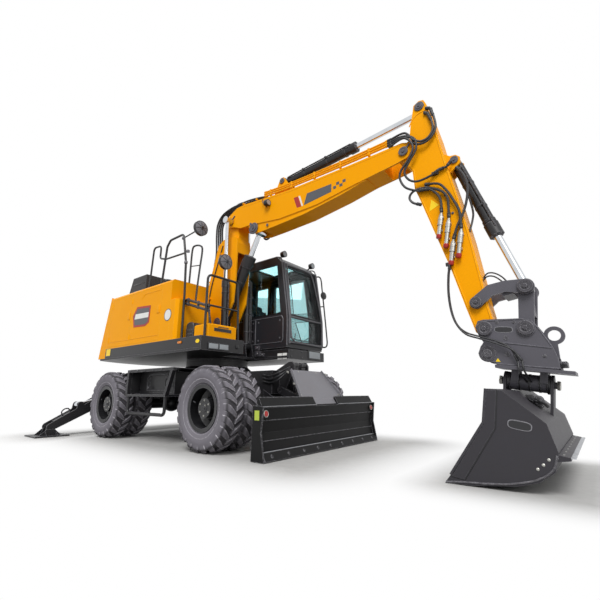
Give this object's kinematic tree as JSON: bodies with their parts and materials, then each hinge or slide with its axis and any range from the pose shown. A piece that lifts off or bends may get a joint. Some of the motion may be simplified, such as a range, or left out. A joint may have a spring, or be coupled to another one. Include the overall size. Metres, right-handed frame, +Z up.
{
  "type": "wheeled excavator",
  "caption": "Wheeled excavator with two-piece boom, stick, quick coupler with a tilting ditch bucket, front blade, rear outriggers and a guarded cab.",
  "frame": {"origin": "middle of the footprint box on the ground, 1.2625 m ahead of the swing axis", "axes": "+X forward along the chassis, +Y to the left, +Z up"},
  "size_m": [7.475, 3.9, 4.235],
  "materials": {
    "yellow_paint": "semi-gloss, lightly worn",
    "charcoal_paint": "satin",
    "black_paint": "satin",
    "anthracite_cast": "matt, worn at the edges",
    "grey_cover": "textured",
    "tyre_rubber": "dusty matt",
    "chrome_rod": "polished",
    "engine_grey": "rough",
    "tinted_glass": "clear",
    "seat_fabric": "woven"
  },
  "bodies": {
    "chassis": {"chassis_frame": "black_paint", "axles": "black_paint", "side_boxes": "charcoal_paint"},
    "superstructure": {"upper_frame": "charcoal_paint", "counterweight": "yellow_paint", "hood": "yellow_paint", "front_boxes": "yellow_paint", "engine": "engine_grey", "cab": "black_paint", "cab_glass": "tinted_glass", "cab_interior": "seat_fabric", "cab_guard": "black_paint", "handrails": "black_paint"},
    "cab_door": {"cab_door": "black_paint", "cab_door_glass": "tinted_glass"},
    "wheel_front_right": {"tyres_front_right": "tyre_rubber", "rims_front_right": "black_paint"},
    "wheel_front_left": {"tyres_front_left": "tyre_rubber", "rims_front_left": "black_paint"},
    "wheel_rear_right": {"tyres_rear_right": "tyre_rubber", "rims_rear_right": "black_paint"},
    "wheel_rear_left": {"tyres_rear_left": "tyre_rubber", "rims_rear_left": "black_paint"},
    "side_lid_right": {"side_lid_right": "charcoal_paint"},
    "side_lid_left": {"side_lid_left": "charcoal_paint"},
    "knuckle_right": {"knuckle_right": "black_paint"},
    "knuckle_left": {"knuckle_left": "black_paint"},
    "tie_rod": {"tie_rod": "black_paint"},
    "blade_arms": {"blade_arms": "charcoal_paint"},
    "blade": {"blade": "charcoal_paint"},
    "blade_links": {"blade_links": "charcoal_paint"},
    "blade_barrels": {"blade_barrels": "charcoal_paint"},
    "blade_rods": {"blade_rods": "chrome_rod"},
    "outrigger_arm_right": {"outrigger_arm_right": "charcoal_paint"},
    "outrigger_pad_right": {"outrigger_pad_right": "charcoal_paint"},
    "outrigger_barrel_right": {"outrigger_barrel_right": "charcoal_paint"},
    "outrigger_rod_right": {"outrigger_rod_right": "chrome_rod"},
    "outrigger_arm_left": {"outrigger_arm_left": "charcoal_paint"},
    "outrigger_pad_left": {"outrigger_pad_left": "charcoal_paint"},
    "outrigger_barrel_left": {"outrigger_barrel_left": "charcoal_paint"},
    "outrigger_rod_left": {"outrigger_rod_left": "chrome_rod"},
    "hood_door_rear": {"hood_door_rear": "yellow_paint"},
    "hood_door_front": {"hood_door_front": "yellow_paint"},
    "hood_door_left": {"hood_door_left": "yellow_paint"},
    "hood_lid": {"hood_lid": "grey_cover"},
    "base_boom": {"base_boom": "yellow_paint"},
    "lift_barrels": {"lift_barrels": "charcoal_paint"},
    "lift_rods": {"lift_rods": "chrome_rod"},
    "upper_boom": {"upper_boom": "yellow_paint"},
    "adjust_barrel": {"adjust_barrel": "charcoal_paint"},
    "adjust_rod": {"adjust_rod": "chrome_rod"},
    "stick": {"stick": "yellow_paint"},
    "stick_barrel": {"stick_barrel": "charcoal_paint"},
    "stick_rod": {"stick_rod": "chrome_rod"},
    "coupler": {"coupler": "anthracite_cast"},
    "rocker": {"rocker": "anthracite_cast"},
    "connecting_link": {"connecting_link": "anthracite_cast"},
    "bucket_barrel": {"bucket_barrel": "charcoal_paint"},
    "bucket_rod": {"bucket_rod": "chrome_rod"},
    "bucket": {"bucket": "anthracite_cast"}
  },
  "joints": [
    {"name": "side_lid_right", "type": "hinge", "parent": "chassis", "child": "side_lid_right", "pos_m": [-1.6225, -1.01, 0.85], "axis": [0, 0, -1], "range_deg": [0, 85]},
    {"name": "side_lid_left", "type": "hinge", "parent": "chassis", "child": "side_lid_left", "pos_m": [-1.6225, 1.01, 0.85], "axis": [0, 0, 1], "range_deg": [0, 85]},
    {"name": "steer_right", "type": "hinge", "parent": "chassis", "child": "knuckle_right", "pos_m": [0.025, -0.61, 0.522], "axis": [0, 0, 1], "range_deg": [-28, 28]},
    {"name": "steer_left", "type": "hinge", "parent": "chassis", "child": "knuckle_left", "pos_m": [0.025, 0.61, 0.522], "axis": [0, 0, 1], "range_deg": [-28.5, 28.5]},
    {"name": "tie_rod_swing", "type": "hinge", "parent": "knuckle_right", "child": "tie_rod", "pos_m": [-0.235, -0.61, 0.394], "axis": [0, 0, 1], "range_deg": [-28.5, 28.5]},
    {"name": "wheel_front_right", "type": "hinge", "parent": "knuckle_right", "child": "wheel_front_right", "pos_m": [0.025, -1.136, 0.522], "axis": [0, 1, 0], "continuous": true},
    {"name": "wheel_rear_right", "type": "hinge", "parent": "chassis", "child": "wheel_rear_right", "pos_m": [-2.55, -1.136, 0.522], "axis": [0, 1, 0], "continuous": true},
    {"name": "wheel_front_left", "type": "hinge", "parent": "knuckle_left", "child": "wheel_front_left", "pos_m": [0.025, 1.136, 0.522], "axis": [0, 1, 0], "continuous": true},
    {"name": "wheel_rear_left", "type": "hinge", "parent": "chassis", "child": "wheel_rear_left", "pos_m": [-2.55, 1.136, 0.522], "axis": [0, 1, 0], "continuous": true},
    {"name": "blade_raise", "type": "hinge", "parent": "chassis", "child": "blade_arms", "pos_m": [0.3875, 0, 0.505], "axis": [0, -1, 0], "range_deg": [-11.5, 28]},
    {"name": "blade_level", "type": "hinge", "parent": "blade_arms", "child": "blade", "pos_m": [0.8475, 0, 0.335], "axis": [0, -1, 0], "range_deg": [-28.5, 12]},
    {"name": "blade_link_swing", "type": "hinge", "parent": "chassis", "child": "blade_links", "pos_m": [0.3875, 0, 0.74], "axis": [0, -1, 0], "range_deg": [-12, 28.5]},
    {"name": "blade_barrel_swing", "type": "hinge", "parent": "chassis", "child": "blade_barrels", "pos_m": [0.5375, 0, 1.075], "axis": [0, -1, 0], "range_deg": [-2.36, 5.02]},
    {"name": "blade_rod_slide", "type": "slide", "parent": "blade_barrels", "child": "blade_rods", "axis": [0.156, 0, -0.9878], "range_m": [-0.12342, 0.05187]},
    {"name": "outrigger_raise_right", "type": "hinge", "parent": "chassis", "child": "outrigger_arm_right", "pos_m": [-3.4875, -0.8, 0.64], "axis": [-1, 0, 0], "range_deg": [-6, 100]},
    {"name": "outrigger_pad_right", "type": "hinge", "parent": "outrigger_arm_right", "child": "outrigger_pad_right", "pos_m": [-3.4875, -1.7, 0.15], "axis": [-1, 0, 0], "range_deg": [-30, 30]},
    {"name": "outrigger_right_barrel_swing", "type": "hinge", "parent": "chassis", "child": "outrigger_barrel_right", "pos_m": [-3.4875, -0.11, 0.8], "axis": [-1, 0, 0], "range_deg": [-2.87, 39.92]},
    {"name": "outrigger_right_rod_slide", "type": "slide", "parent": "outrigger_barrel_right", "child": "outrigger_rod_right", "axis": [0, -0.9687, -0.2484], "range_m": [-0.32309, 0.02126]},
    {"name": "outrigger_raise_left", "type": "hinge", "parent": "chassis", "child": "outrigger_arm_left", "pos_m": [-3.4875, 0.8, 0.64], "axis": [1, 0, 0], "range_deg": [-6, 100]},
    {"name": "outrigger_pad_left", "type": "hinge", "parent": "outrigger_arm_left", "child": "outrigger_pad_left", "pos_m": [-3.4875, 1.7, 0.15], "axis": [1, 0, 0], "range_deg": [-30, 30]},
    {"name": "outrigger_left_barrel_swing", "type": "hinge", "parent": "chassis", "child": "outrigger_barrel_left", "pos_m": [-3.4875, 0.11, 0.8], "axis": [1, 0, 0], "range_deg": [-2.87, 39.92]},
    {"name": "outrigger_left_rod_slide", "type": "slide", "parent": "outrigger_barrel_left", "child": "outrigger_rod_left", "axis": [0, 0.9687, -0.2484], "range_m": [-0.32309, 0.02126]},
    {"name": "slew", "type": "hinge", "parent": "chassis", "child": "superstructure", "pos_m": [-1.2625, 0, 1.2], "axis": [0, 0, 1], "continuous": true},
    {"name": "hood_door_rear", "type": "hinge", "parent": "superstructure", "child": "hood_door_rear", "pos_m": [-2.7025, -1.245, 1.85], "axis": [0, 0, -1], "range_deg": [0, 85]},
    {"name": "hood_door_front", "type": "hinge", "parent": "superstructure", "child": "hood_door_front", "pos_m": [-1.9965, -1.245, 1.85], "axis": [0, 0, -1], "range_deg": [0, 85]},
    {"name": "hood_door_left", "type": "hinge", "parent": "superstructure", "child": "hood_door_left", "pos_m": [-2.7025, 1.245, 1.85], "axis": [0, 0, 1], "range_deg": [0, 85]},
    {"name": "hood_lid", "type": "hinge", "parent": "superstructure", "child": "hood_lid", "pos_m": [-2.7025, -0.25, 2.355], "axis": [0, -1, 0], "range_deg": [0, 70]},
    {"name": "cab_door", "type": "hinge", "parent": "superstructure", "child": "cab_door", "pos_m": [-1.1325, 1.245, 2.1], "axis": [0, 0, 1], "range_deg": [0, 165]},
    {"name": "boom_lift", "type": "hinge", "parent": "superstructure", "child": "base_boom", "pos_m": [-1.1875, -0.1, 1.635], "axis": [0, -1, 0], "range_deg": [-60, 8]},
    {"name": "lift_barrel_swing", "type": "hinge", "parent": "superstructure", "child": "lift_barrels", "pos_m": [-0.7125, -0.1, 1.45], "axis": [0, -1, 0], "range_deg": [-61.15, 8.59]},
    {"name": "lift_rod_slide", "type": "slide", "parent": "lift_barrels", "child": "lift_rods", "axis": [-0.0231, 0, 0.9997], "range_m": [-0.51807, 0.07081]},
    {"name": "upper_boom_fold", "type": "hinge", "parent": "base_boom", "child": "upper_boom", "pos_m": [-0.7625, -0.1, 3.61], "axis": [0, 1, 0], "range_deg": [-35, 30]},
    {"name": "adjust_barrel_swing", "type": "hinge", "parent": "base_boom", "child": "adjust_barrel", "pos_m": [-1.0275, -0.1, 1.85], "axis": [0, 1, 0], "range_deg": [-1.55, 1.41]},
    {"name": "adjust_rod_slide", "type": "slide", "parent": "adjust_barrel", "child": "adjust_rod", "axis": [0.4869, 0, 0.8735], "range_m": [-0.31288, 0.3647]},
    {"name": "stick_swing", "type": "hinge", "parent": "upper_boom", "child": "stick", "pos_m": [2.4135, -0.1, 3.593], "axis": [0, -1, 0], "range_deg": [-24, 50]},
    {"name": "stick_barrel_swing", "type": "hinge", "parent": "upper_boom", "child": "stick_barrel", "pos_m": [0.3575, -0.1, 4.02], "axis": [0, 1, 0], "range_deg": [-3.28, 1.83]},
    {"name": "stick_rod_slide", "type": "slide", "parent": "stick_barrel", "child": "stick_rod", "axis": [0.9983, 0, 0.0581], "range_m": [-0.46314, 0.22335]},
    {"name": "bucket_curl", "type": "hinge", "parent": "stick", "child": "coupler", "pos_m": [3.0815, -0.1, 1.31], "axis": [0, 1, 0], "range_deg": [-50, 60]},
    {"name": "rocker_swing", "type": "hinge", "parent": "stick", "child": "rocker", "pos_m": [3.0325, -0.1, 1.582], "axis": [0, 1, 0], "range_deg": [-40.62, 48.64]},
    {"name": "connecting_link_swing", "type": "hinge", "parent": "rocker", "child": "connecting_link", "pos_m": [3.4725, -0.1, 1.672], "axis": [0, 1, 0], "range_deg": [-30.98, 25.9]},
    {"name": "bucket_barrel_swing", "type": "hinge", "parent": "stick", "child": "bucket_barrel", "pos_m": [2.9655, -0.1, 3.272], "axis": [0, 1, 0], "range_deg": [-2.25, 2.6]},
    {"name": "bucket_rod_slide", "type": "slide", "parent": "bucket_barrel", "child": "bucket_rod", "axis": [0.3021, 0, -0.9533], "range_m": [-0.30258, 0.3627]},
    {"name": "bucket_tilt", "type": "hinge", "parent": "coupler", "child": "bucket", "pos_m": [3.3875, -0.1, 0.792], "axis": [0.9903, 0, -0.1392], "range_deg": [-40, 40]}
  ],
  "couplings": [
    {"joint": "steer_left", "follows": "steer_right", "ratio": 1},
    {"joint": "tie_rod_swing", "follows": "steer_right", "ratio": -1},
    {"joint": "blade_level", "follows": "blade_raise", "ratio": -1},
    {"joint": "blade_link_swing", "follows": "blade_raise", "ratio": 1},
    {"joint": "blade_barrel_swing", "follows": "blade_raise", "ratio": 0.16154},
    {"joint": "blade_rod_slide", "follows": "blade_raise", "m_per_rad": -0.24845},
    {"joint": "outrigger_right_barrel_swing", "follows": "outrigger_raise_right", "ratio": 0.39417},
    {"joint": "outrigger_right_rod_slide", "follows": "outrigger_raise_right", "m_per_rad": -0.18397},
    {"joint": "outrigger_left_barrel_swing", "follows": "outrigger_raise_left", "ratio": 0.39417},
    {"joint": "outrigger_left_rod_slide", "follows": "outrigger_raise_left", "m_per_rad": -0.18397},
    {"joint": "lift_barrel_swing", "follows": "boom_lift", "ratio": 1.0109},
    {"joint": "lift_rod_slide", "follows": "boom_lift", "m_per_rad": 0.49282},
    {"joint": "adjust_barrel_swing", "follows": "upper_boom_fold", "ratio": 0.030151},
    {"joint": "adjust_rod_slide", "follows": "upper_boom_fold", "m_per_rad": -0.59374},
    {"joint": "stick_barrel_swing", "follows": "stick_swing", "ratio": -0.055625},
    {"joint": "stick_rod_slide", "follows": "stick_swing", "m_per_rad": -0.52843},
    {"joint": "rocker_swing", "follows": "bucket_curl", "ratio": 0.8023},
    {"joint": "connecting_link_swing", "follows": "bucket_curl", "ratio": -0.50794},
    {"joint": "bucket_barrel_swing", "follows": "bucket_curl", "ratio": 0.035027},
    {"joint": "bucket_rod_slide", "follows": "bucket_curl", "m_per_rad": 0.34445}
  ]
}
